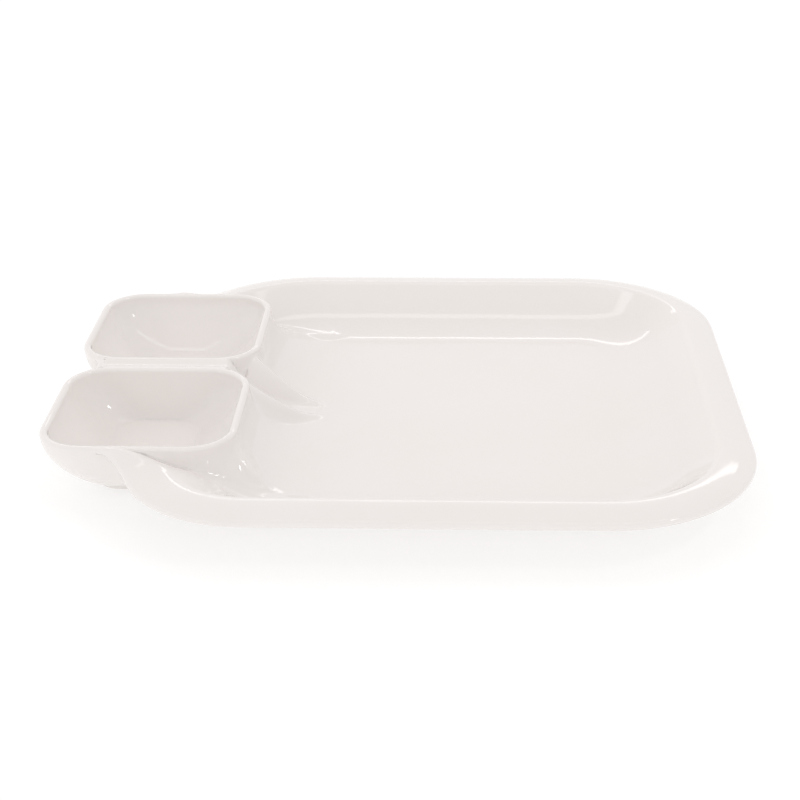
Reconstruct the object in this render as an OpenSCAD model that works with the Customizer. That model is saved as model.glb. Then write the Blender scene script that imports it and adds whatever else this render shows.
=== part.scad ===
// Chip and dip server: a wide shallow tray with two square dip bowls let into its left side.
// The real server is one piece of glazed porcelain. Its regions are separate solids that meet
// face to face: the tray, the two bowls, the bridge that joins them and the three foot rings.
// X runs along the server, Y across it, Z up. The origin is on the table, under its middle.

/* [Tray] */
// Length of the tray over its rim
tray_len = 313; // [260:1:360]
// Width of the tray over its rim
tray_w = 313; // [260:1:380]
// Corner radius of the tray's rim, in plan
tray_corner_r = 78; // [66:1:95]
// Height of the top of the tray's rim
tray_rim_z = 29; // [24:0.5:34]
// Height of the tray's floor
floor_z = 8; // [7:0.5:10]
// Slope of the tray's wall, in degrees
wall_angle = 22; // [20:1:30]
// Radius of the hollow curve between the wall and the floor
foot_curve_r = 50; // [20:1:60]

/* [Dip bowls] */
// Length of a bowl over its rim
bowl_len = 99; // [80:1:120]
// Width of a bowl over its rim
bowl_w = 98; // [80:1:118]
// Space between the two bowls' rims
bowl_gap = 9; // [6:0.5:14]
// How far the bowls reach out past the tray's left side
bowl_reach = 43; // [34:1:52]
// Corner radius of a bowl's rim, in plan
bowl_corner_r = 24; // [18:1:30]
// Height of the top of the bowls' rims
bowl_rim_z = 36; // [32:0.5:44]
// Corner radius of a bowl's floor, in plan
bowl_floor_r = 16; // [12:1:18]
// Height of the floor inside a bowl
bowl_floor_z = 8.5; // [8:0.5:11]
// How far a bowl's open walls lean in on their way down
bowl_lean = 23; // [18:1:28]
// How far the wall beside the other bowl leans in
divider_lean = 6; // [4:0.5:10]

/* [Bridge] */
// How far the bowls' hollow slope runs out over the tray's floor
apron_run = 34; // [26:1:42]
// How far the slope stands out past the bowls' outer sides at its foot
apron_side = 5; // [3:1:8]
// Corner radius of the slope's foot
apron_foot_r = 8; // [6:1:12]
// Radius of the ridges that run down from the bowls' corners
ridge_r = 4; // [3:0.5:5]
// How far inside the corners of the bowls' rims the ridges start
ridge_in = 8; // [6:1:10]
// How much further in over the tray the inner ridges end than the outer ones
ridge_step = 7; // [4:1:10]
// How far the strip between the bowls lies below their rims
valley_drop = 3; // [2:0.5:5]

/* [Ware] */
// Thickness of the ware
ware_t = 4.2; // [3.4:0.1:5]
// Thickness of the rolled rim of the tray
tray_lip_t = 4.6; // [4:0.1:6]
// Thickness of the rolled rims of the bowls
bowl_lip_t = 4; // [3.5:0.1:5]

/* [Feet] */
// Width of the foot rings' bearing face
foot_w = 5; // [4:0.5:7]
// How far the tray's foot ring lies inside the edge of its flat underside
tray_foot_inset = 6; // [3:0.5:12]
// How far a bowl's foot ring lies inside the edge of its flat underside
bowl_foot_inset = 1.5; // [1:0.5:4]
// Corner radius of the tray's foot ring
tray_foot_r = 16; // [10:1:30]
// Corner radius of the bowls' foot rings
bowl_foot_r = 12; // [8:1:16]

/* [Hidden] */

corner_fn = 64;         // sides of a full round corner
ridge_fn = 24;          // sides of a ridge
arc_steps = 6;          // slices round a lip or a curve, an even number
slice_t = 0.01;         // thickness of one slice
over = 20;              // how far a cutting shape runs on past what it cuts
min_corner = 1;         // tightest corner of a slice
crest_w = 0.3;          // flat along the crest of a rolled rim
upright = 0.4;          // share of a bowl's wall that rises at once, the rest as a belly

foot_h = floor_z - ware_t;
overall_len = tray_len + bowl_reach;
tray_x0 = overall_len/2 - tray_len;
tray_x1 = overall_len/2;
bowl_x0 = -overall_len/2;
bowl_x1 = bowl_x0 + bowl_len;
bowl_y0 = bowl_gap/2;
bowl_y1 = bowl_y0 + bowl_w;
tray_lip_r = tray_lip_t/2;
bowl_lip_r = bowl_lip_t/2;
wall_rise = tray_rim_z - tray_lip_r - floor_z;
wall_run = tray_lip_t + wall_rise/tan(wall_angle) + foot_curve_r*tan(wall_angle/2);

// The slope from the bowls' rims to the tray's floor is a quarter of an ellipse.
apron_top = bowl_rim_z - bowl_lip_r;
apron_rise = apron_top - floor_z;
apron_x1 = bowl_x1 + apron_run;
valley_top = bowl_rim_z - valley_drop;
valley_run = apron_run + bowl_corner_r;
strip_x0 = bowl_x0 + bowl_corner_r/2;

// Hollow curve up to the tray's wall, as [inset, height]; t is the depth below the top surface.
function tray_curve(t) =
    [for (i = [0:arc_steps])
        let (a = wall_angle*i/arc_steps)
        [wall_run - (foot_curve_r + t)*sin(a),
         floor_z + foot_curve_r - (foot_curve_r + t)*cos(a)]];

// Rolled rim of radius r with its top at height z, as [inset, height], from its underside up.
function rolled_rim(r, z) =
    [for (i = [0:arc_steps])
        let (a = -90 + 180*i/arc_steps)
        [r - r*cos(a), z - r + r*sin(a)]];

// Rounded wall of a bowl, as [share of the lean, height].
function bowl_wall(low, high) =
    [for (i = [0:arc_steps])
        let (a = 90*i/arc_steps)
        [1 - sin(a), low + (high - low)*((1 - upright)*(1 - cos(a)) + upright*sin(a))]];

// Slope of the bridge, as [run past the rim, height, share of the way down].
function apron(t) =
    [for (i = [0:arc_steps])
        let (a = 90*i/arc_steps)
        [apron_run - (apron_run + t)*cos(a), apron_top - (apron_rise + t)*sin(a), i/arc_steps]];

module rounded_plate(x0, x1, y0, y1, r) {
    hull()
        for (x = [x0 + r, x1 - r], y = [y0 + r, y1 - r])
            translate([x, y]) circle(r, $fn = corner_fn);
}

module slice(x0, x1, y0, y1, r, z) {
    translate([0, 0, z])
        linear_extrude(slice_t)
            rounded_plate(x0, x1, y0, y1, r);
}

module tray_slice(inset, z) {
    slice(tray_x0 + inset, tray_x1 - inset, inset - tray_w/2, tray_w/2 - inset,
          max(min_corner, tray_corner_r - inset), z);
}

module tray_loft(profile) {
    for (i = [0:len(profile) - 2])
        hull() {
            tray_slice(profile[i][0], profile[i][1]);
            tray_slice(profile[i + 1][0], profile[i + 1][1]);
        }
}

module tray_outside() {
    tray_loft(concat(tray_curve(ware_t), rolled_rim(tray_lip_r, tray_rim_z)));
}

module tray_hollow() {
    tray_loft(concat(tray_curve(0), [[tray_lip_t, tray_rim_z - tray_lip_r],
                                     [tray_lip_r + crest_w, tray_rim_z],
                                     [tray_lip_r + crest_w, bowl_rim_z + over]]));
}

// The tray's outside with its rim carried straight up: the bridge stands within this.
module tray_column() {
    rim = rolled_rim(tray_lip_r, tray_rim_z);
    tray_loft(concat(tray_curve(ware_t), [for (i = [0:arc_steps/2]) rim[i]],
                     [[0, bowl_rim_z + over]]));
}

// A slice of the rear bowl: lean is its share of the lean, inset is how far it lies inside that.
module bowl_slice(lean, inset, z) {
    slice(bowl_x0 + lean*bowl_lean + inset, bowl_x1 - lean*bowl_lean - inset,
          bowl_y0 + lean*divider_lean + inset, bowl_y1 - lean*bowl_lean - inset,
          bowl_corner_r + lean*(bowl_floor_r - bowl_corner_r) - inset, z);
}

module bowl_loft(wall, inset) {
    for (i = [0:len(wall) - 2])
        hull() {
            bowl_slice(wall[i][0], inset, wall[i][1]);
            bowl_slice(wall[i + 1][0], inset, wall[i + 1][1]);
        }
}

module bowl_outside() {
    rim = rolled_rim(bowl_lip_r, bowl_rim_z);
    bowl_loft(bowl_wall(foot_h, bowl_rim_z - bowl_lip_r), 0);
    for (i = [arc_steps/2:arc_steps - 1])
        hull() {
            bowl_slice(0, rim[i][0], rim[i][1]);
            bowl_slice(0, rim[i + 1][0], rim[i + 1][1]);
        }
}

module bowl_hollow() {
    bowl_loft(bowl_wall(bowl_floor_z, bowl_rim_z - bowl_lip_r), bowl_lip_t);
    hull() {
        bowl_slice(0, bowl_lip_t, bowl_rim_z - bowl_lip_r);
        bowl_slice(0, bowl_lip_r + crest_w, bowl_rim_z);
    }
    hull() {
        bowl_slice(0, bowl_lip_r + crest_w, bowl_rim_z);
        bowl_slice(0, bowl_lip_r + crest_w, bowl_rim_z + over);
    }
}

module rear_bowl_shell() {
    difference() {
        bowl_outside();
        bowl_hollow();
    }
}

module both_bowls_outside() {
    bowl_outside();
    mirror([0, 1, 0]) bowl_outside();
}

// Half of the slope round the bowls, as a solid (t = 0) or as the hollow below it (t = ware_t).
module apron_slice(row, t) {
    slice(bowl_x0, bowl_x1 + row[0], bowl_y0 + t, bowl_y1 + row[2]*apron_side - t,
          bowl_corner_r + row[2]*(apron_foot_r - bowl_corner_r) - t*(1 - row[2]), row[1]);
}

module apron_loft(t) {
    rows = apron(t);
    for (i = [0:arc_steps - 1])
        hull() {
            apron_slice(rows[i], t);
            apron_slice(rows[i + 1], t);
        }
}

// Plinth under the slope, down past the underside, so that the tray is cut right through.
module apron_plinth(low) {
    hull() {
        apron_slice(apron(0)[arc_steps], 0);
        translate([0, 0, low - floor_z]) apron_slice(apron(0)[arc_steps], 0);
    }
}

// Ridge from a corner of a bowl's rim, at y0, down to the tray's floor, at x1 and y1.
module ridge(y0, x1, y1) {
    hull() {
        translate([bowl_x1 - ridge_in, y0, apron_top - ridge_r]) sphere(ridge_r, $fn = ridge_fn);
        translate([x1, y1, floor_z - ridge_r/2]) sphere(ridge_r, $fn = ridge_fn);
    }
}

module half_slope() {
    apron_loft(0);
    ridge(bowl_y0 + ridge_in, apron_x1 - ridge_r, bowl_y0 + ridge_r);
    ridge(bowl_y1 - ridge_in, apron_x1 - ridge_r - ridge_step, bowl_y1 - ridge_r);
}

// Valley between the bowls, t deep, running down to the tray's floor.
module valley(t) {
    half_w = bowl_y0 + bowl_corner_r/2;
    top = [for (i = [0:2*arc_steps])
        let (a = 45*i/arc_steps)
        [apron_x1 - valley_run*cos(a), valley_top - (valley_top - floor_z)*sin(a)]];
    translate([0, half_w, 0])
        rotate([90, 0, 0])
            linear_extrude(2*half_w)
                polygon(concat([[strip_x0, valley_top - t], [strip_x0, valley_top]], top,
                               [for (i = [2*arc_steps:-1:0]) top[i] - [0, t]]));
}

module whole_slope() {
    half_slope();
    mirror([0, 1, 0]) half_slope();
}

// All that the bridge takes out of the tray.
module bridge_cut() {
    whole_slope();
    valley(bowl_rim_z);
    for (m = [0, 1])
        mirror([0, m, 0]) apron_plinth(-over);
}

// A foot ring between two heights, inside the given sides.
module foot_ring(x0, x1, y0, y1, r) {
    linear_extrude(foot_h)
        difference() {
            rounded_plate(x0, x1, y0, y1, r);
            rounded_plate(x0 + foot_w, x1 - foot_w, y0 + foot_w, y1 - foot_w, r - foot_w);
        }
}

module rear_foot_ring() {
    inset = bowl_lean + bowl_foot_inset;
    foot_ring(bowl_x0 + inset, bowl_x1 - inset, bowl_y0 + divider_lean + bowl_foot_inset,
              bowl_y1 - inset, bowl_foot_r);
}

module tray() {
    color("ivory")
        difference() {
            tray_outside();
            tray_hollow();
            bridge_cut();
            both_bowls_outside();
        }
}

module rear_dip_bowl() {
    color("ivory") rear_bowl_shell();
}

module front_dip_bowl() {
    color("ivory") mirror([0, 1, 0]) rear_bowl_shell();
}

module bowl_bridge() {
    color("ivory")
        difference() {
            union() {
                difference() {
                    intersection() {
                        whole_slope();
                        tray_column();
                    }
                    for (m = [0, 1])
                        mirror([0, m, 0]) apron_loft(ware_t);
                }
                valley(ware_t);
            }
            both_bowls_outside();
        }
}

module tray_foot() {
    inset = wall_run + tray_foot_inset;
    color("linen")
        foot_ring(apron_x1 + tray_foot_inset, tray_x1 - inset, inset - tray_w/2, tray_w/2 - inset,
                  tray_foot_r);
}

module rear_bowl_foot() {
    color("linen") rear_foot_ring();
}

module front_bowl_foot() {
    color("linen") mirror([0, 1, 0]) rear_foot_ring();
}

tray();
rear_dip_bowl();
front_dip_bowl();
bowl_bridge();
tray_foot();
rear_bowl_foot();
front_bowl_foot();
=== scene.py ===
"""A chip and dip server in white glazed porcelain: a wide tray with two dip bowls let into one side.

The real server is one casting whose surfaces all run into each other, so its shape is laid out here as
a height over the plan: the tray's dish, the bowls, and the slope, ridges and valley that join them.
That surface and its underside are cut into the same regions as the CAD nodes. Shapes are in millimetres.

The brim, the steep wall inside it and the shelf before the front bowl are shaped here only. The CAD tray
has a plain sloping wall there, and this surface stands up to about 8 mm off it.
"""

import math

import bmesh
import bpy
import numpy as np
from mathutils import Matrix, Vector
from mathutils.geometry import delaunay_2d_cdt


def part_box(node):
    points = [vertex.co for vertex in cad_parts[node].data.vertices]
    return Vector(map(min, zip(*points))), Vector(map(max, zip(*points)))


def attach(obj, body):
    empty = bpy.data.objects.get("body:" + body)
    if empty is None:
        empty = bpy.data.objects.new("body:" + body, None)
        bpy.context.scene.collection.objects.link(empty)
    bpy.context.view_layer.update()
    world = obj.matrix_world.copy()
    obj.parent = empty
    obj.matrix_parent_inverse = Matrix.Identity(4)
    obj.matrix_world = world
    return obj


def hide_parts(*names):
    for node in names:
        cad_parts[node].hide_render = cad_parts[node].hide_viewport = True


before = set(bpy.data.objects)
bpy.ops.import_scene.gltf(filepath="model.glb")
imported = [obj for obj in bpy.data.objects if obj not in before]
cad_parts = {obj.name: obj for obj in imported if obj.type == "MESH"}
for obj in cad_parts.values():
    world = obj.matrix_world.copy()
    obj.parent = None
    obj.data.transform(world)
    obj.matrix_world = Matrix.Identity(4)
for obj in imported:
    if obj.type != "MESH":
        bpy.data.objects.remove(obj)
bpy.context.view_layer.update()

MM = 0.001


def sides(node):
    """Lowest and highest corner of a CAD node, in millimetres."""
    low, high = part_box(node)
    return [c / MM for c in low], [c / MM for c in high]


# ---------------------------------------------------------------- sizes from the frame

(_, TRAY_Y0, UNDER_Z), (TRAY_X1, TRAY_Y1, TRAY_TOP) = sides("tray")
TRAY_X0 = TRAY_X1 - (TRAY_Y1 - TRAY_Y0)
(BOWL_X0, BOWL_Y0, _), (BOWL_X1, BOWL_Y1, BOWL_TOP) = sides("rear_dip_bowl")

WARE = 4.2                  # thickness of the ware
FLOOR_Z = UNDER_Z + WARE
LIP = 2.0                   # radius of the rolled edges

TRAY_R_OPEN = 78            # corner radius of the tray's rim at its open end
TRAY_R_REAR = 80            # and behind the rear bowl
TRAY_R_FRONT = 66           # and in front of the front bowl
EDGE_DROP = 4.4             # how far the middle of the tray's edge lies below the crest of its brim
BRIM = 15.7                 # width of the tray's brim, from its edge to its crest
BRIM_SKEW = 1.8             # how much narrower it runs at the back, and wider at the front
EDGE_MEETS = 0.67           # where the rolled edge runs into the brim, as a share of its radius
CREST_R = 6                 # rounding between the brim's crest and the wall
WALL_ANGLE = math.radians(38)
WALL_FOOT_R = 48            # hollow curve between the tray's wall and its floor

BOWL_R = 24                 # corner radius of a bowl's rim
BOWL_FLOOR_R = 15           # corner radius of a bowl's floor
BOWL_FLOOR_Z = FLOOR_Z + 0.5
LEAN_OUT = 21               # lean of a bowl's outer walls
LEAN_IN = 24                # lean of its wall towards the tray
LEAN_DIVIDER = 5.5          # lean of its wall towards the other bowl
UPRIGHT = 0.4               # share of a bowl's wall that rises at once, the rest as a belly

SHELF = 0.8                 # share of the wall's depth that is filled up in front of the front bowl
SHELF_X = (BOWL_X1 - 24, BOWL_X1 + 16)    # where the shelf falls away towards the tray
SHELF_Y = (BOWL_Y1 - 22, BOWL_Y1 + 2)     # where it comes out from beside the bowl
RISE_REACH = 7              # how quickly the rim drops from the bowls' height beside them
RISE_X = (BOWL_X1 - 16, BOWL_X1 + 29)     # where the rim is down at the tray's height for good
SWEEP = 16                  # size of the sweep from the bowls' rims to the tray's rim

SLOPE_RUN = 34              # how far the slope runs from the bowls over the tray's floor
SLOPE_SIDE = 17             # how far it stands out past their outer sides
SLOPE_FOOT_R = 18           # corner radius of its foot
SLOPE_POWER = 2.15          # 2 is an ellipse, more is steeper at the rim
STRIP_X0 = BOWL_X0 + 12     # where the strip between the bowls starts
STRIP_END = 16              # where it ends, inside the bowls' rims on the tray's side
STRIP_DROP = 1.4            # how far it lies below the bowls' rims
NOTCH_X = (BOWL_X0 + 28, BOWL_X0 + 58)    # where the rim's dip at the strip's end runs out
NOTCH_Y = (4, 10)           # and how wide the dip is

EDGE_Z = TRAY_TOP - EDGE_DROP
BOWL_RIM_Z = BOWL_TOP - LIP
STRIP_Z = BOWL_TOP - STRIP_DROP

# The ridges from a bowl's corners: start and end as (x, y, z), and how hollow they fall.
INNER_RIDGE = ((BOWL_X1 - 4, BOWL_Y0 + 13, BOWL_RIM_Z), (BOWL_X1 + 33, BOWL_Y0 + 3, FLOOR_Z), 1.3)
OUTER_RIDGE = ((BOWL_X1 - 5, BOWL_Y1 - 20, BOWL_RIM_Z), (BOWL_X1 + 17, BOWL_Y1 - 6, FLOOR_Z), 1.05)

GLAZE_LIGHT = (0.88, 0.85, 0.835, 1)
GLAZE_WARM = (0.865, 0.82, 0.785, 1)
# The foot's clay colours hold painted shade: darkened to tan, though the bare clay itself is near white.
PAINTED_SHADE_CLAY_LIGHT = (0.74, 0.66, 0.59, 1)
PAINTED_SHADE_CLAY_DARK = (0.66, 0.57, 0.50, 1)

BACKDROP = (1.0, 1.0, 1.0, 1)
TENT_WALL = (0.86, 0.85, 0.85, 1)
CEILING = (0.90, 0.86, 0.85, 1)


# ---------------------------------------------------------------- shape tools

def outside(x, y, x0, x1, y0, y1, r):
    """Distance outside a rounded rectangle, negative inside it."""
    across = np.abs(x - (x0 + x1) / 2) - (x1 - x0) / 2 + r
    along = np.abs(y - (y0 + y1) / 2) - (y1 - y0) / 2 + r
    corner = np.hypot(np.maximum(across, 0), np.maximum(along, 0))
    return corner + np.minimum(np.maximum(across, along), 0) - r


def melt_low(a, b, k):
    """The lower of two values, run together over a width k."""
    h = np.maximum(k - np.abs(a - b), 0) / k
    return np.minimum(a, b) - h * h * k / 4


def melt_high(a, b, k):
    return -melt_low(-a, -b, k)


def ease(x, start, end):
    """0 before start, 1 after end, and smooth between them."""
    t = np.clip((x - start) / (end - start), 0, 1)
    return t * t * (3 - 2 * t)


def between(first, last, t):
    """Values a share t of the way from the first ones to the last."""
    return tuple(a + (b - a) * t for a, b in zip(first, last))


def share(x, y, rect_at, grows=False):
    """How far along a family of nested rounded rectangles a point lies: rect_at(0) to rect_at(1)."""
    low, high = np.zeros_like(x), np.ones_like(x)
    for _ in range(22):
        t = (low + high) / 2
        off = outside(x, y, *rect_at(t, x, y))
        beyond = off > 0 if grows else off < 0
        low, high = np.where(beyond, t, low), np.where(beyond, high, t)
    return (low + high) / 2


def inset_rect(inset):
    """The rear bowl's rim, moved inwards."""
    return (BOWL_X0 + inset, BOWL_X1 - inset, BOWL_Y0 + inset, BOWL_Y1 - inset, BOWL_R - inset)


def leant_rect(inset):
    """The foot of the rear bowl's wall that starts at an inset."""
    return (BOWL_X0 + inset + LEAN_OUT, BOWL_X1 - inset - LEAN_IN,
            BOWL_Y0 + inset + LEAN_DIVIDER, BOWL_Y1 - inset - LEAN_OUT, BOWL_FLOOR_R)


def belly_at(t, x, y):
    """The outside of the rear bowl's wall."""
    return between(inset_rect(0), leant_rect(0), t)


def hollow_at(t, x, y):
    """The inside of its wall."""
    return between(inset_rect(2 * LIP), leant_rect(2 * LIP), t)


def slope_at(t, x, y):
    """The hollow slope from the rear bowl's rim to the tray's floor."""
    return between(inset_rect(0), SLOPE_FOOT, t)


SLOPE_FOOT = (BOWL_X0, BOWL_X1 + SLOPE_RUN, BOWL_Y0, BOWL_Y1 + SLOPE_SIDE, SLOPE_FOOT_R)


# ---------------------------------------------------------------- plan

def off_bowl(x, y):
    """Distance outside the nearer bowl's rim."""
    return outside(x, np.abs(y), *inset_rect(0))


def off_tray(x, y):
    """Distance outside the tray's rim, whose corners differ."""
    by_bowls = np.where(y > 0, TRAY_R_REAR, TRAY_R_FRONT)
    r = np.where(x < (TRAY_X0 + TRAY_X1) / 2, by_bowls, TRAY_R_OPEN)
    return outside(x, y, TRAY_X0, TRAY_X1, TRAY_Y0, TRAY_Y1, r)


def off_server(x, y):
    """Distance outside the whole server's outline, with the sweeps between bowls and tray."""
    strip = outside(x, y, STRIP_X0, BOWL_X1, -BOWL_R, BOWL_R, 2)
    bowls = melt_low(off_bowl(x, y), strip, 5)
    return melt_low(bowls, off_tray(x, y), SWEEP)


def rise(x, y):
    """How far the rim has risen from the tray's (0) to the bowls' (1)."""
    away = np.maximum(np.abs(y) - BOWL_Y1 - 1, 0)
    return np.exp(-away / RISE_REACH) * (1 - ease(x, *RISE_X))


def notch(x, y):
    """How far the rim dips at the end of the strip between the bowls."""
    return (BOWL_TOP - STRIP_Z) * (1 - ease(np.abs(y), *NOTCH_Y)) * (1 - ease(x, *NOTCH_X))


def edge_height(x, y):
    """Height of the middle of the server's rolled edge."""
    return EDGE_Z + (BOWL_RIM_Z - EDGE_Z) * rise(x, y) - notch(x, y)


# ---------------------------------------------------------------- heights

def wall_drop(run):
    """How far the tray's wall has dropped below its crest, at a run in from it."""
    slope, sine, cosine = math.tan(WALL_ANGLE), math.sin(WALL_ANGLE), math.cos(WALL_ANGLE)
    crest = CREST_R - np.sqrt(CREST_R ** 2 - np.clip(run, 0, CREST_R * sine) ** 2)
    top_run, top_drop = CREST_R * sine, CREST_R * (1 - cosine)
    depth = TRAY_TOP - FLOOR_Z
    flat_run = (depth - top_drop - WALL_FOOT_R * (1 - cosine)) / slope
    straight = top_drop + (run - top_run) * slope
    left = np.clip(top_run + flat_run + WALL_FOOT_R * sine - run, 0, WALL_FOOT_R * sine)
    foot = depth - (WALL_FOOT_R - np.sqrt(WALL_FOOT_R ** 2 - left ** 2))
    return np.where(run < top_run, crest, np.where(run < top_run + flat_run, straight, foot))


def dish(x, y, rolled):
    """The tray's brim, wall, floor and shelf, with or without its rolled edge."""
    depth = -off_server(x, y)
    up = rise(x, y)
    shelf = (1 - ease(x, *SHELF_X)) * ease(-y, *SHELF_Y)
    brim = (BRIM - BRIM_SKEW * y / TRAY_Y1) * (1 - up) + LIP * up
    edge = edge_height(x, y)
    crest = TRAY_TOP + (BOWL_TOP - TRAY_TOP) * up - notch(x, y)
    meets = LIP * (EDGE_MEETS + (1 - EDGE_MEETS) * up)
    fall = crest - edge - np.sqrt(LIP ** 2 - (LIP - meets) ** 2)
    fall = fall / np.maximum((1 - meets / brim) ** 2, 0.001)
    top = crest - fall * np.clip(1 - depth / brim, 0, 1) ** 2
    run = np.maximum(depth - brim, 0)
    top = top - wall_drop(run) * (1 - SHELF * shelf) - (crest - TRAY_TOP) * ease(run, 0, 30)
    if not rolled:
        return top
    roll = edge + np.sqrt(np.maximum(LIP ** 2 - (LIP - depth) ** 2, 0))
    return np.where(depth < meets, roll, top)


def skirt(x, y, rolled):
    """The outside of the bowls above the tray: their rolled rims, then the hollow slope."""
    y = np.abs(y)
    off = off_bowl(x, y)
    t = share(x, y, slope_at, grows=True)
    fall = 1 - np.maximum(1 - (1 - t) ** SLOPE_POWER, 0) ** (1 / SLOPE_POWER)
    slope = FLOOR_Z + (BOWL_RIM_Z - FLOOR_Z) * fall - 0.4 * np.maximum(outside(x, y, *SLOPE_FOOT), 0)
    if rolled:
        over = np.clip(off + LIP, 0, LIP)
        top = BOWL_RIM_Z + np.sqrt(LIP ** 2 - over ** 2)
    else:
        top = BOWL_RIM_Z - 3 * off
    return np.where(off < 0, top, slope)


def ridge(x, y, start, end, power):
    """A rounded ridge from a bowl's corner down to the tray's floor; start and end are (x, y, z)."""
    y = np.abs(y)
    dx, dy = end[0] - start[0], end[1] - start[1]
    length = math.hypot(dx, dy)
    t = ((x - start[0]) * dx + (y - start[1]) * dy) / length ** 2
    aside = ((x - start[0]) * dy - (y - start[1]) * dx) / length
    top = end[2] + (start[2] - end[2]) * np.clip(1 - t, 0, 1) ** power
    past = np.maximum(t - 1, 0) * length
    before = np.maximum(-t, 0) * length
    blunt = 2.0
    return top - 1.25 * (np.hypot(aside, blunt) - blunt) - past - 2 * before


def valley(x, y, rolled):
    """The strip between the bowls, and the valley from its end down to the tray's floor."""
    start, run = BOWL_X1 - STRIP_END, SLOPE_RUN + STRIP_END
    u = np.clip((x - start) / run, 0, 1)
    fall = FLOOR_Z + 1.4 * (STRIP_Z - FLOOR_Z) * (1 - np.sqrt(np.maximum(1 - (1 - u) ** 2, 0)))
    crest = BOWL_Y0 + LIP
    trough = (BOWL_TOP - STRIP_Z) * np.cos(np.pi / 2 * np.clip(y / crest, -1, 1)) ** 2
    z = melt_low(BOWL_TOP - trough, fall, 6) - 1.2 * np.maximum(x - start - run, 0)
    if rolled:
        depth = np.clip(-off_server(x, y), 0, LIP)
        edge = STRIP_Z - LIP + np.sqrt(LIP ** 2 - (LIP - depth) ** 2)
        z = np.where(x < STRIP_X0 + 2 * LIP, np.minimum(z, edge), z)
    return z - 0.8 * np.maximum(np.abs(y) - crest, 0)


def around_bowls(x, y, rolled=True):
    """Top of the server outside the bowls' rims. Only the front bowl has an outer ridge."""
    beside = ease(np.abs(y), BOWL_Y1 - 8, BOWL_Y1 + 2) * ease(-off_server(x, y), 3, 12)
    z = melt_high(dish(x, y, rolled), skirt(x, y, rolled), 0.3 + 5 * beside)
    inner = ridge(x, y, *INNER_RIDGE)
    outer = ridge(x, y, *OUTER_RIDGE) - 30 * ease(y, 0, BOWL_Y0)
    inside = np.maximum(-off_bowl(x, y), 0) * 4
    z = melt_high(z, melt_high(inner, outer, 1) - inside, 5)
    return melt_high(z, valley(x, y, rolled), 1.5)


def wall_height(t, low, high):
    """Height of a bowl's wall, bellied, at a share t of its lean."""
    a = np.arcsin(np.clip(1 - t, 0, 1))
    return low + (high - low) * ((1 - UPRIGHT) * (1 - np.cos(a)) + UPRIGHT * np.sin(a))


def in_bowl(x, y):
    """Top of the server inside the crest of a bowl's rim."""
    y = np.abs(y)
    depth = -off_bowl(x, y)
    roll = BOWL_RIM_Z + np.sqrt(np.maximum(LIP ** 2 - (LIP - depth) ** 2, 0))
    t = share(x, y, hollow_at)
    return np.where(depth < 2 * LIP, roll, wall_height(t, BOWL_FLOOR_Z, BOWL_RIM_Z))


def top_height(x, y):
    """The whole top of the server, never above the crests of the bowls' rims."""
    return np.minimum(np.where(off_bowl(x, y) < -LIP, in_bowl(x, y), around_bowls(x, y)), BOWL_TOP)


def under_height(x, y):
    """The underside: the top moved inwards by the ware's thickness, with the bowls' bellies."""
    under = around_bowls(x, y, rolled=False) - WARE
    for reach, turns in ((0.5, 8), (0.85, 12)):
        for i in range(turns):
            a = 2 * math.pi * i / turns
            dx, dy = WARE * reach * math.cos(a), WARE * reach * math.sin(a)
            near = around_bowls(x + dx, y + dy, rolled=False) - WARE * math.sqrt(1 - reach ** 2)
            under = np.minimum(under, near)
    depth = -off_server(x, y)
    roll = edge_height(x, y) - np.sqrt(np.maximum(LIP ** 2 - (LIP - depth) ** 2, 0))
    under = np.where(depth < LIP, np.maximum(under, roll), under)
    off = off_bowl(x, y)
    t = share(x, np.abs(y), belly_at)
    belly = wall_height(t, UNDER_Z, BOWL_RIM_Z) + 4 * np.maximum(off, 0)
    under = melt_low(under + 3 * np.maximum(-off, 0), belly, 0.2 + 3 * ease(depth, 3, 10))
    return np.maximum(under, UNDER_Z)


def normals(height, x, y):
    """Upward normals of a height, at each point."""
    h = 0.04
    dx = (height(x + h, y) - height(x - h, y)) / (2 * h)
    dy = (height(x, y + h) - height(x, y - h)) / (2 * h)
    n = np.stack([-dx, -dy, np.ones_like(dx)], axis=1)
    return n / np.linalg.norm(n, axis=1, keepdims=True)


# ---------------------------------------------------------------- plan mesh

def rect_loop(rect, straight=44, corner=22):
    """Points round a rounded rectangle, the same number on each so that nested loops line up."""
    x0, x1, y0, y1, r = rect
    middles = ((x1 - r, y1 - r), (x0 + r, y1 - r), (x0 + r, y0 + r), (x1 - r, y0 + r))

    def at(quarter, part):
        cx, cy = middles[quarter % 4]
        a = math.pi / 2 * (quarter % 4 + part)
        return np.array([cx + r * math.cos(a), cy + r * math.sin(a)])

    loop = []
    for quarter in range(4):
        loop += [at(quarter, i / corner) for i in range(corner)]
        start, end = at(quarter, 1), at(quarter + 1, 0)
        loop += [start + (end - start) * i / straight for i in range(straight)]
    return np.array(loop)


def outline_loop(step=1.5):
    """Points round the server's outline, evenly spaced, by walking out along rays from its middle."""
    a = np.linspace(0, 2 * math.pi, 24000, endpoint=False)
    low, high = np.zeros_like(a), np.full_like(a, 400.0)
    for _ in range(40):
        mid = (low + high) / 2
        beyond = off_server(mid * np.cos(a), mid * np.sin(a)) > 0
        low, high = np.where(beyond, low, mid), np.where(beyond, mid, high)
    ring = np.stack([low * np.cos(a), low * np.sin(a)], axis=1)
    ring = np.vstack([ring, ring[:1]])
    along = np.concatenate([[0], np.cumsum(np.linalg.norm(np.diff(ring, axis=0), axis=1))])
    at = np.linspace(0, along[-1], int(along[-1] / step), endpoint=False)
    return np.stack([np.interp(at, along, ring[:, i]) for i in (0, 1)], axis=1)


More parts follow.
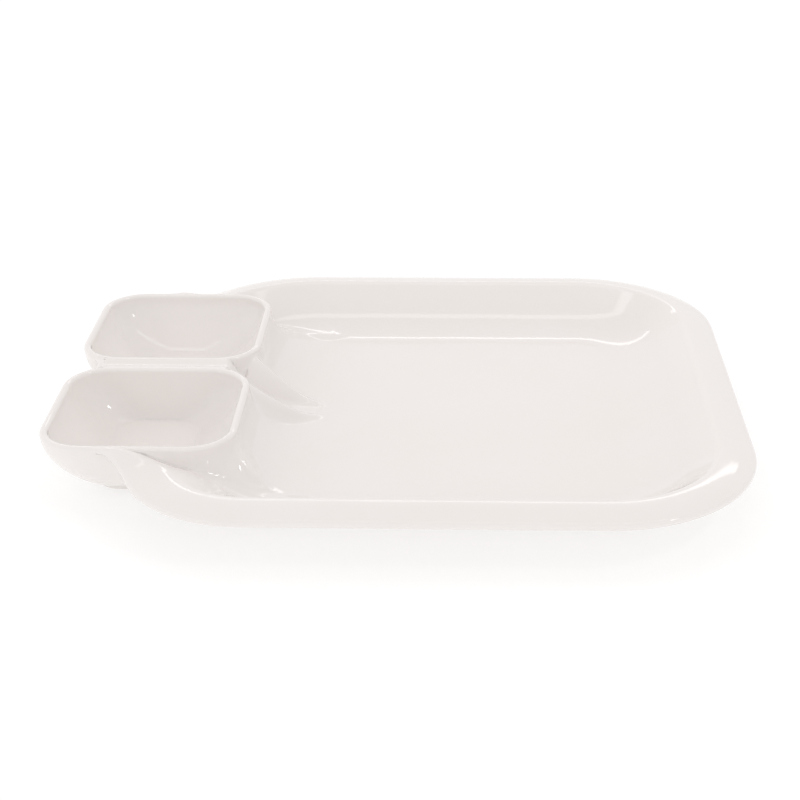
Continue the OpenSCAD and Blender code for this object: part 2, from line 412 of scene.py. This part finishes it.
def moved_in(loop, depth):
    """A loop moved in by a depth, at right angles to itself."""
    x, y = loop[:, 0], loop[:, 1]
    h = 0.05
    slope = np.stack([off_server(x + h, y) - off_server(x - h, y),
                      off_server(x, y + h) - off_server(x, y - h)], axis=1)
    return loop - depth * slope / np.linalg.norm(slope, axis=1, keepdims=True)


def grid(x0, x1, y0, y1, step):
    """Points on a square grid."""
    xs, ys = np.meshgrid(np.arange(x0, x1, step), np.arange(y0, y1, step))
    return np.stack([xs.ravel(), ys.ravel()], axis=1)


class Plan:
    """Points in the plan, and the edges that its triangles have to keep."""

    def __init__(self):
        self.points, self.edges = np.empty((0, 2)), []

    def add(self, points, keep=None, closed=False):
        """Adds the points that keep picks out, as a closed loop or as loose points."""
        keep = np.ones(len(points), dtype=bool) if keep is None else keep
        index = len(self.points) + np.cumsum(keep) - 1
        if closed:
            pairs = ((i, (i + 1) % len(points)) for i in range(len(points)))
            self.edges += [(int(index[i]), int(index[j])) for i, j in pairs if keep[i] and keep[j]]
        self.points = np.vstack([self.points, points[keep]])

    def clear_of(self, points, reach):
        """Which points lie further than about reach from all that are in the plan already."""
        cell = reach / 2
        taken = set()
        for cx, cy in np.floor(self.points / cell).astype(int).tolist():
            taken.update((cx + i, cy + j) for i in (-1, 0, 1) for j in (-1, 0, 1))
        cells = np.floor(points / cell).astype(int).tolist()
        return np.array([tuple(c) not in taken for c in cells], dtype=bool)


def bowl_loops():
    """Loops round the rear bowl's rim and down its wall, then round the slope outside it."""
    roll = [1 - math.cos(math.radians(a)) for a in range(15, 91, 15)]
    for r in [0] + roll + [2 - r for r in reversed(roll[:-1])] + [2]:
        yield rect_loop(inset_rect(LIP * r)), True
    for a in range(85, -1, -5):
        yield rect_loop(hollow_at(1 - math.sin(math.radians(a)), 0, 0)), True
    for a in range(6, 91, 6):
        yield rect_loop(slope_at(1 - math.cos(math.radians(a)), 0, 0)), False


def plan_mesh():
    """Points, triangles and which points lie on the outline."""
    edge = outline_loop()
    plan = Plan()
    plan.add(edge, closed=True)
    for loop, inner in bowl_loops():
        for side in (1, -1):
            points = loop * (1, side)
            keep = (off_server(*points.T) < -0.1) & plan.clear_of(points, 0.02)
            if not inner:
                keep &= (off_bowl(*points.T) > 0.1) & (loop[:, 1] > BOWL_Y0 + 0.8)
            plan.add(points, keep, closed=True)
    roll = [1 - math.cos(math.radians(a)) for a in range(15, 91, 15)]
    for depth in [LIP * r for r in roll] + [2.6, 3.4, 4.5] + list(np.arange(6, 26, 1.5)):
        points = moved_in(edge, depth)
        keep = (off_bowl(*points.T) > 0.3) & plan.clear_of(points, 0.15)
        plan.add(points, keep, closed=True)
    for step, area, deep in ((1.0, (BOWL_X0, BOWL_X1 + 44, -BOWL_Y1 - 10, BOWL_Y1 + 10), 1),
                             (2.0, (TRAY_X0, TRAY_X1, TRAY_Y0, TRAY_Y1), 1.5)):
        points = grid(*area, step)
        keep = (off_server(*points.T) < -deep) & plan.clear_of(points, 0.75 * step)
        plan.add(points, keep)

    found = delaunay_2d_cdt([Vector(p) for p in plan.points.tolist()], plan.edges, [], 1, 1e-6)
    points, faces = np.array([tuple(v) for v in found[0]]), np.array(found[2])
    on_edge = np.array([any(i < len(edge) for i in old) for old in found[3]])
    a, b, c = (points[faces[:, i]] for i in range(3))
    area = (b[:, 0] - a[:, 0]) * (c[:, 1] - a[:, 1]) - (b[:, 1] - a[:, 1]) * (c[:, 0] - a[:, 0])
    faces[area < 0] = faces[area < 0][:, ::-1]
    return points, faces[np.abs(area) > 1e-9], on_edge


# ---------------------------------------------------------------- the casting's regions

def region_of(x, y):
    """Which CAD node each place in the plan belongs to."""
    slope = outside(x, np.abs(y), *SLOPE_FOOT) < 0
    strip = (np.abs(y) < BOWL_Y0 + 1) & (x < BOWL_X1)
    names = np.where(slope | strip, "bowl_bridge", "tray")
    bowls = np.where(y > 0, "rear_dip_bowl", "front_dip_bowl")
    return np.where(off_bowl(x, y) < 0, bowls, names)


def solid_region(name, points, faces, on_edge, top, under, n_top, n_under):
    """One region as a closed solid between the top and the underside, with walls where it is cut."""
    used = np.unique(faces)
    place = np.full(len(points), -1)
    place[used] = np.arange(len(used))
    shared = on_edge[used]
    below = np.where(shared, np.arange(len(used)), len(used) + np.cumsum(~shared) - 1)
    upper = np.column_stack([points[used], top[used]])
    lower = np.column_stack([points[used], under[used]])[~shared]
    tris = place[faces]

    directed = {(a, b) for t in tris.tolist() for a, b in ((t[0], t[1]), (t[1], t[2]), (t[2], t[0]))}
    walls = []
    for a, b in directed:
        if (b, a) not in directed and not (shared[a] and shared[b]):
            walls.append([i for i in dict.fromkeys((a, int(below[a]), int(below[b]), b))])

    mesh = bpy.data.meshes.new(name)
    verts = np.vstack([upper, lower]) * MM
    mesh.from_pydata(verts.tolist(), [], tris.tolist() + below[tris][:, ::-1].tolist() + walls)
    mesh.shade_smooth()
    up = np.vstack([n_top[used], n_under[used][~shared]])
    mesh.normals_split_custom_set_from_vertices(up.tolist())
    piece = bpy.data.objects.new(name, mesh)
    bpy.context.collection.objects.link(piece)
    return piece


def casting():
    """The tray, the two bowls and the bridge, cut from one surface so that no seam shows."""
    points, faces, on_edge = plan_mesh()
    x, y = points.T
    rim = edge_height(x, y)
    top = np.where(on_edge, rim, top_height(x, y))
    under = np.where(on_edge, rim, np.minimum(under_height(x, y), top - 1))
    n_top = normals(top_height, x, y)
    n_under = -normals(under_height, x, y)
    out = np.stack([off_server(x + 0.05, y) - off_server(x - 0.05, y),
                    off_server(x, y + 0.05) - off_server(x, y - 0.05), np.zeros_like(x)], axis=1)
    n_top[on_edge] = out[on_edge] / np.linalg.norm(out[on_edge], axis=1, keepdims=True)
    middle = points[faces].mean(axis=1)
    region = region_of(*middle.T)
    pieces = {}
    for name in ("tray", "rear_dip_bowl", "front_dip_bowl", "bowl_bridge"):
        part = faces[region == name]
        pieces[name] = solid_region(name, points, part, on_edge, top, under, n_top, n_under)
    return pieces


# ---------------------------------------------------------------- foot rings

def foot_ring(node, radius, width=5.0, rounding=0.7):
    """A foot ring modelled from a block: round corners, hollow middle, softened bearing edges."""
    low, high = (Vector(c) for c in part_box(node))
    bpy.ops.object.select_all(action="DESELECT")
    bpy.ops.mesh.primitive_cube_add(size=1, location=(low + high) / 2, scale=high - low)
    ring = bpy.context.object
    ring.name = ring.data.name = node
    bpy.ops.object.transform_apply(location=True, rotation=True, scale=True)
    bpy.ops.object.mode_set(mode="EDIT")
    bpy.ops.mesh.select_mode(type="EDGE")
    pick(ring, "edges", lambda e: abs(e.verts[0].co.z - e.verts[1].co.z) > MM)
    bpy.ops.mesh.bevel(offset=radius * MM, segments=10, affect="EDGES")
    bpy.ops.mesh.select_mode(type="FACE")
    pick(ring, "faces", lambda f: abs(f.normal.z) > 0.9)
    bpy.ops.mesh.inset(thickness=width * MM)
    bpy.ops.mesh.bridge_edge_loops()
    bpy.ops.mesh.select_mode(type="EDGE")
    pick(ring, "edges", lambda e: all(v.co.z < low.z + 0.1 * MM for v in e.verts)
         and any(abs(f.normal.z) < 0.1 for f in e.link_faces))
    bpy.ops.mesh.bevel(offset=rounding * MM, segments=4, affect="EDGES")
    bpy.ops.mesh.select_all(action="SELECT")
    bpy.ops.mesh.normals_make_consistent(inside=False)
    bpy.ops.object.mode_set(mode="OBJECT")
    bpy.ops.object.shade_smooth_by_angle(angle=math.radians(40))
    return ring


def pick(obj, kind, wanted):
    """In edit mode, selects only the edges or faces that a test picks out."""
    bpy.ops.mesh.select_all(action="DESELECT")
    mesh = bmesh.from_edit_mesh(obj.data)
    for part in getattr(mesh, kind):
        part.select = bool(wanted(part))
    mesh.select_flush_mode()
    bmesh.update_edit_mesh(obj.data)


# ---------------------------------------------------------------- finishes

class Maths:
    """A socket that takes part in Python expressions, which add Math nodes."""

    def __init__(self, tree, socket):
        self.tree, self.socket = tree, socket

    def node(self, kind, values=(), out=0, **settings):
        """Any other node: its settings are set first, then the values or links of its sockets."""
        new = self.tree.nodes.new(kind)
        for key, value in settings.items():
            setattr(new, key, value)
        for key, value in dict(values).items():
            if isinstance(value, Maths):
                self.tree.links.new(value.socket, new.inputs[key])
            else:
                new.inputs[key].default_value = value
        return Maths(self.tree, new.outputs[out])

    def sum_of(self, operation, *terms):
        return self.node("ShaderNodeMath", enumerate(terms), operation=operation)

    def __add__(self, other):
        return self.sum_of("ADD", self, other)

    def __sub__(self, other):
        return self.sum_of("SUBTRACT", self, other)

    def __rsub__(self, other):
        return self.sum_of("SUBTRACT", other, self)

    def __mul__(self, other):
        return self.sum_of("MULTIPLY", self, other)

    __radd__ = __add__
    __rmul__ = __mul__


def new_finish(name):
    """A material, its shader node, and Object coordinates to start expressions from."""
    material = bpy.data.materials.new(name)
    material.use_nodes = True
    tree = material.node_tree
    shader = tree.nodes["Principled BSDF"]
    coords = tree.nodes.new("ShaderNodeTexCoord")
    return material, shader, Maths(tree, coords.outputs["Object"])


def link(shader, socket, value):
    """Joins an expression to one of a shader's sockets."""
    value.tree.links.new(value.socket, shader.inputs[socket])


def white_glaze():
    """Clear glossy glaze over white porcelain: nearly even, with warmth that varies at random and faint
    ripples.
    """
    material, shader, place = new_finish("white_glaze")
    cloud = place.node("ShaderNodeTexNoise", {"Vector": place, "Scale": 14.0, "Detail": 3.0})
    mottle = place.node("ShaderNodeTexNoise", {"Vector": place, "Scale": 160.0, "Detail": 4.0})
    tone = (cloud - 0.5) * 0.8 + (mottle - 0.5) * 0.25 + 0.5
    colour = place.node("ShaderNodeMix", {"Factor": tone, "A": GLAZE_LIGHT, "B": GLAZE_WARM},
                        out="Result", data_type="RGBA")
    link(shader, "Base Color", colour)
    link(shader, "Roughness", mottle * 0.03 + 0.05)
    ripple = place.node("ShaderNodeTexNoise", {"Vector": place, "Scale": 22.0, "Detail": 1.5})
    peel = place.node("ShaderNodeTexNoise", {"Vector": place, "Scale": 420.0, "Detail": 2.0})
    bump = place.node("ShaderNodeBump",
                      {"Height": ripple + peel * 0.012, "Strength": 0.25, "Distance": 0.0012})
    link(shader, "Normal", bump)
    shader.inputs["IOR"].default_value = 1.5
    shader.inputs["Specular IOR Level"].default_value = 0.5
    return material


def bare_foot():
    """The unglazed clay of the bearing faces: matt, faintly gritty, tan with painted shade where the bare
    clay is near white, and a little darker where it wears.
    """
    material, shader, place = new_finish("bare_foot")
    grit = place.node("ShaderNodeTexNoise", {"Vector": place, "Scale": 900.0, "Detail": 5.0})
    wear = place.node("ShaderNodeTexNoise", {"Vector": place, "Scale": 45.0, "Detail": 3.0})
    tone = (grit - 0.5) * 1.2 + (wear - 0.5) * 1.4 + 0.5
    # Both clay colours are painted shade, tan where the bare clay is near white.
    colour = place.node("ShaderNodeMix", {"Factor": tone, "A": PAINTED_SHADE_CLAY_LIGHT, "B": PAINTED_SHADE_CLAY_DARK},
                        out="Result", data_type="RGBA")
    link(shader, "Base Color", colour)
    link(shader, "Roughness", wear * 0.15 + 0.62)
    bump = place.node("ShaderNodeBump", {"Height": grit, "Strength": 0.35, "Distance": 0.0002})
    link(shader, "Normal", bump)
    return material


# ---------------------------------------------------------------- camera, floor and lights

def camera():
    """Looking down at the server's near side from a little above its rim."""
    data = bpy.data.cameras.new("camera")
    data.lens, data.sensor_width = 74.13, 36
    data.clip_start, data.clip_end = 0.01, 20
    seat = bpy.data.objects.new("camera", data)
    place = (0.0316, -0.8112, 0.3983)
    turn, tilt, roll = -0.04, 0.4415, -0.0101
    seat.matrix_world = (Matrix.Translation(place) @ Matrix.Rotation(-turn, 4, "Z")
                         @ Matrix.Rotation(math.pi / 2 - tilt, 4, "X") @ Matrix.Rotation(roll, 4, "Z"))
    bpy.context.collection.objects.link(seat)
    bpy.context.scene.camera = seat


def floor():
    """A pale ground that glows a little, so that the server casts only a soft shadow on it."""
    bpy.ops.mesh.primitive_plane_add(size=12, location=(0, 0, 0))
    ground = bpy.context.object
    ground.name = "floor"
    material, shader, _ = new_finish("pale_floor")
    shader.inputs["Base Color"].default_value = (0.55, 0.55, 0.55, 1)
    shader.inputs["Emission Color"].default_value = (1, 1, 1, 1)
    shader.inputs["Emission Strength"].default_value = 0.5
    shader.inputs["Roughness"].default_value = 0.9
    shader.inputs["Specular IOR Level"].default_value = 0.1
    ground.data.materials.append(material)


def softbox(name, place, aim, size, watts):
    """A rectangular lamp at a place, turned towards another."""
    data = bpy.data.lights.new(name, "AREA")
    data.shape = "RECTANGLE"
    data.size, data.size_y = size
    data.energy = watts
    lamp = bpy.data.objects.new(name, data)
    lamp.location = place
    lamp.rotation_euler = (Vector(aim) - Vector(place)).to_track_quat("-Z", "Y").to_euler()
    bpy.context.collection.objects.link(lamp)


def studio():
    """A light tent, a little brighter to the left, with soft boxes behind, above and to the right."""
    world = bpy.data.worlds.new("studio")
    world.use_nodes = True
    tree = world.node_tree
    way = Maths(tree, tree.nodes.new("ShaderNodeTexCoord").outputs["Generated"])
    height = way.node("ShaderNodeSeparateXYZ", {"Vector": way}, out="Z")
    right = way.node("ShaderNodeSeparateXYZ", {"Vector": way}, out="X")
    ramp = tree.nodes.new("ShaderNodeValToRGB")
    # Each stop is the sine of an elevation, and the tent's colour there.
    stops = ((0.0, BACKDROP), (0.56, BACKDROP), (0.70, TENT_WALL), (0.86, TENT_WALL), (0.93, CEILING))
    while len(ramp.color_ramp.elements) < len(stops):
        ramp.color_ramp.elements.new(0.5)
    for element, (at, colour) in zip(ramp.color_ramp.elements, stops):
        element.position, element.color = at, colour
    tree.links.new(height.socket, ramp.inputs["Fac"])
    sky = tree.nodes["Background"]
    tree.links.new(ramp.outputs["Color"], sky.inputs["Color"])
    tree.links.new((right * -0.12 + 0.97).socket, sky.inputs["Strength"])
    bpy.context.scene.world = world
    bpy.context.scene.view_settings.view_transform = "Standard"
    softbox("back_strip", (0.0, 1.5, 0.98), (0, 0, 0), (1.6, 0.10), 1.1)
    softbox("overhead", (0.0, 0.35, 1.6), (0, 0, 0), (1.6, 0.20), 1.4)
    softbox("right_lamp", (0.9, -0.4, 1.1), (-0.1, 0, 0), (0.12, 0.12), 1.0)


# ---------------------------------------------------------------- the server

def finish_server():
    """Makes each piece, gives it its finish, and says which CAD node it stands for."""
    glaze, clay = white_glaze(), bare_foot()
    for node, piece in casting().items():
        piece.name = node + "_glazed"
        piece.data.materials.append(glaze)
        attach(piece, "root")
        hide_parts(node)
    for node, radius in (("tray_foot", 16), ("rear_bowl_foot", 12), ("front_bowl_foot", 12)):
        piece = foot_ring(node, radius)
        piece.name = node + "_ring"
        piece.data.materials.append(glaze)
        piece.data.materials.append(clay)
        for face in piece.data.polygons:
            face.material_index = int(face.normal.z < -0.9)
        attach(piece, "root")
        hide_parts(node)


camera()
floor()
studio()
finish_server()
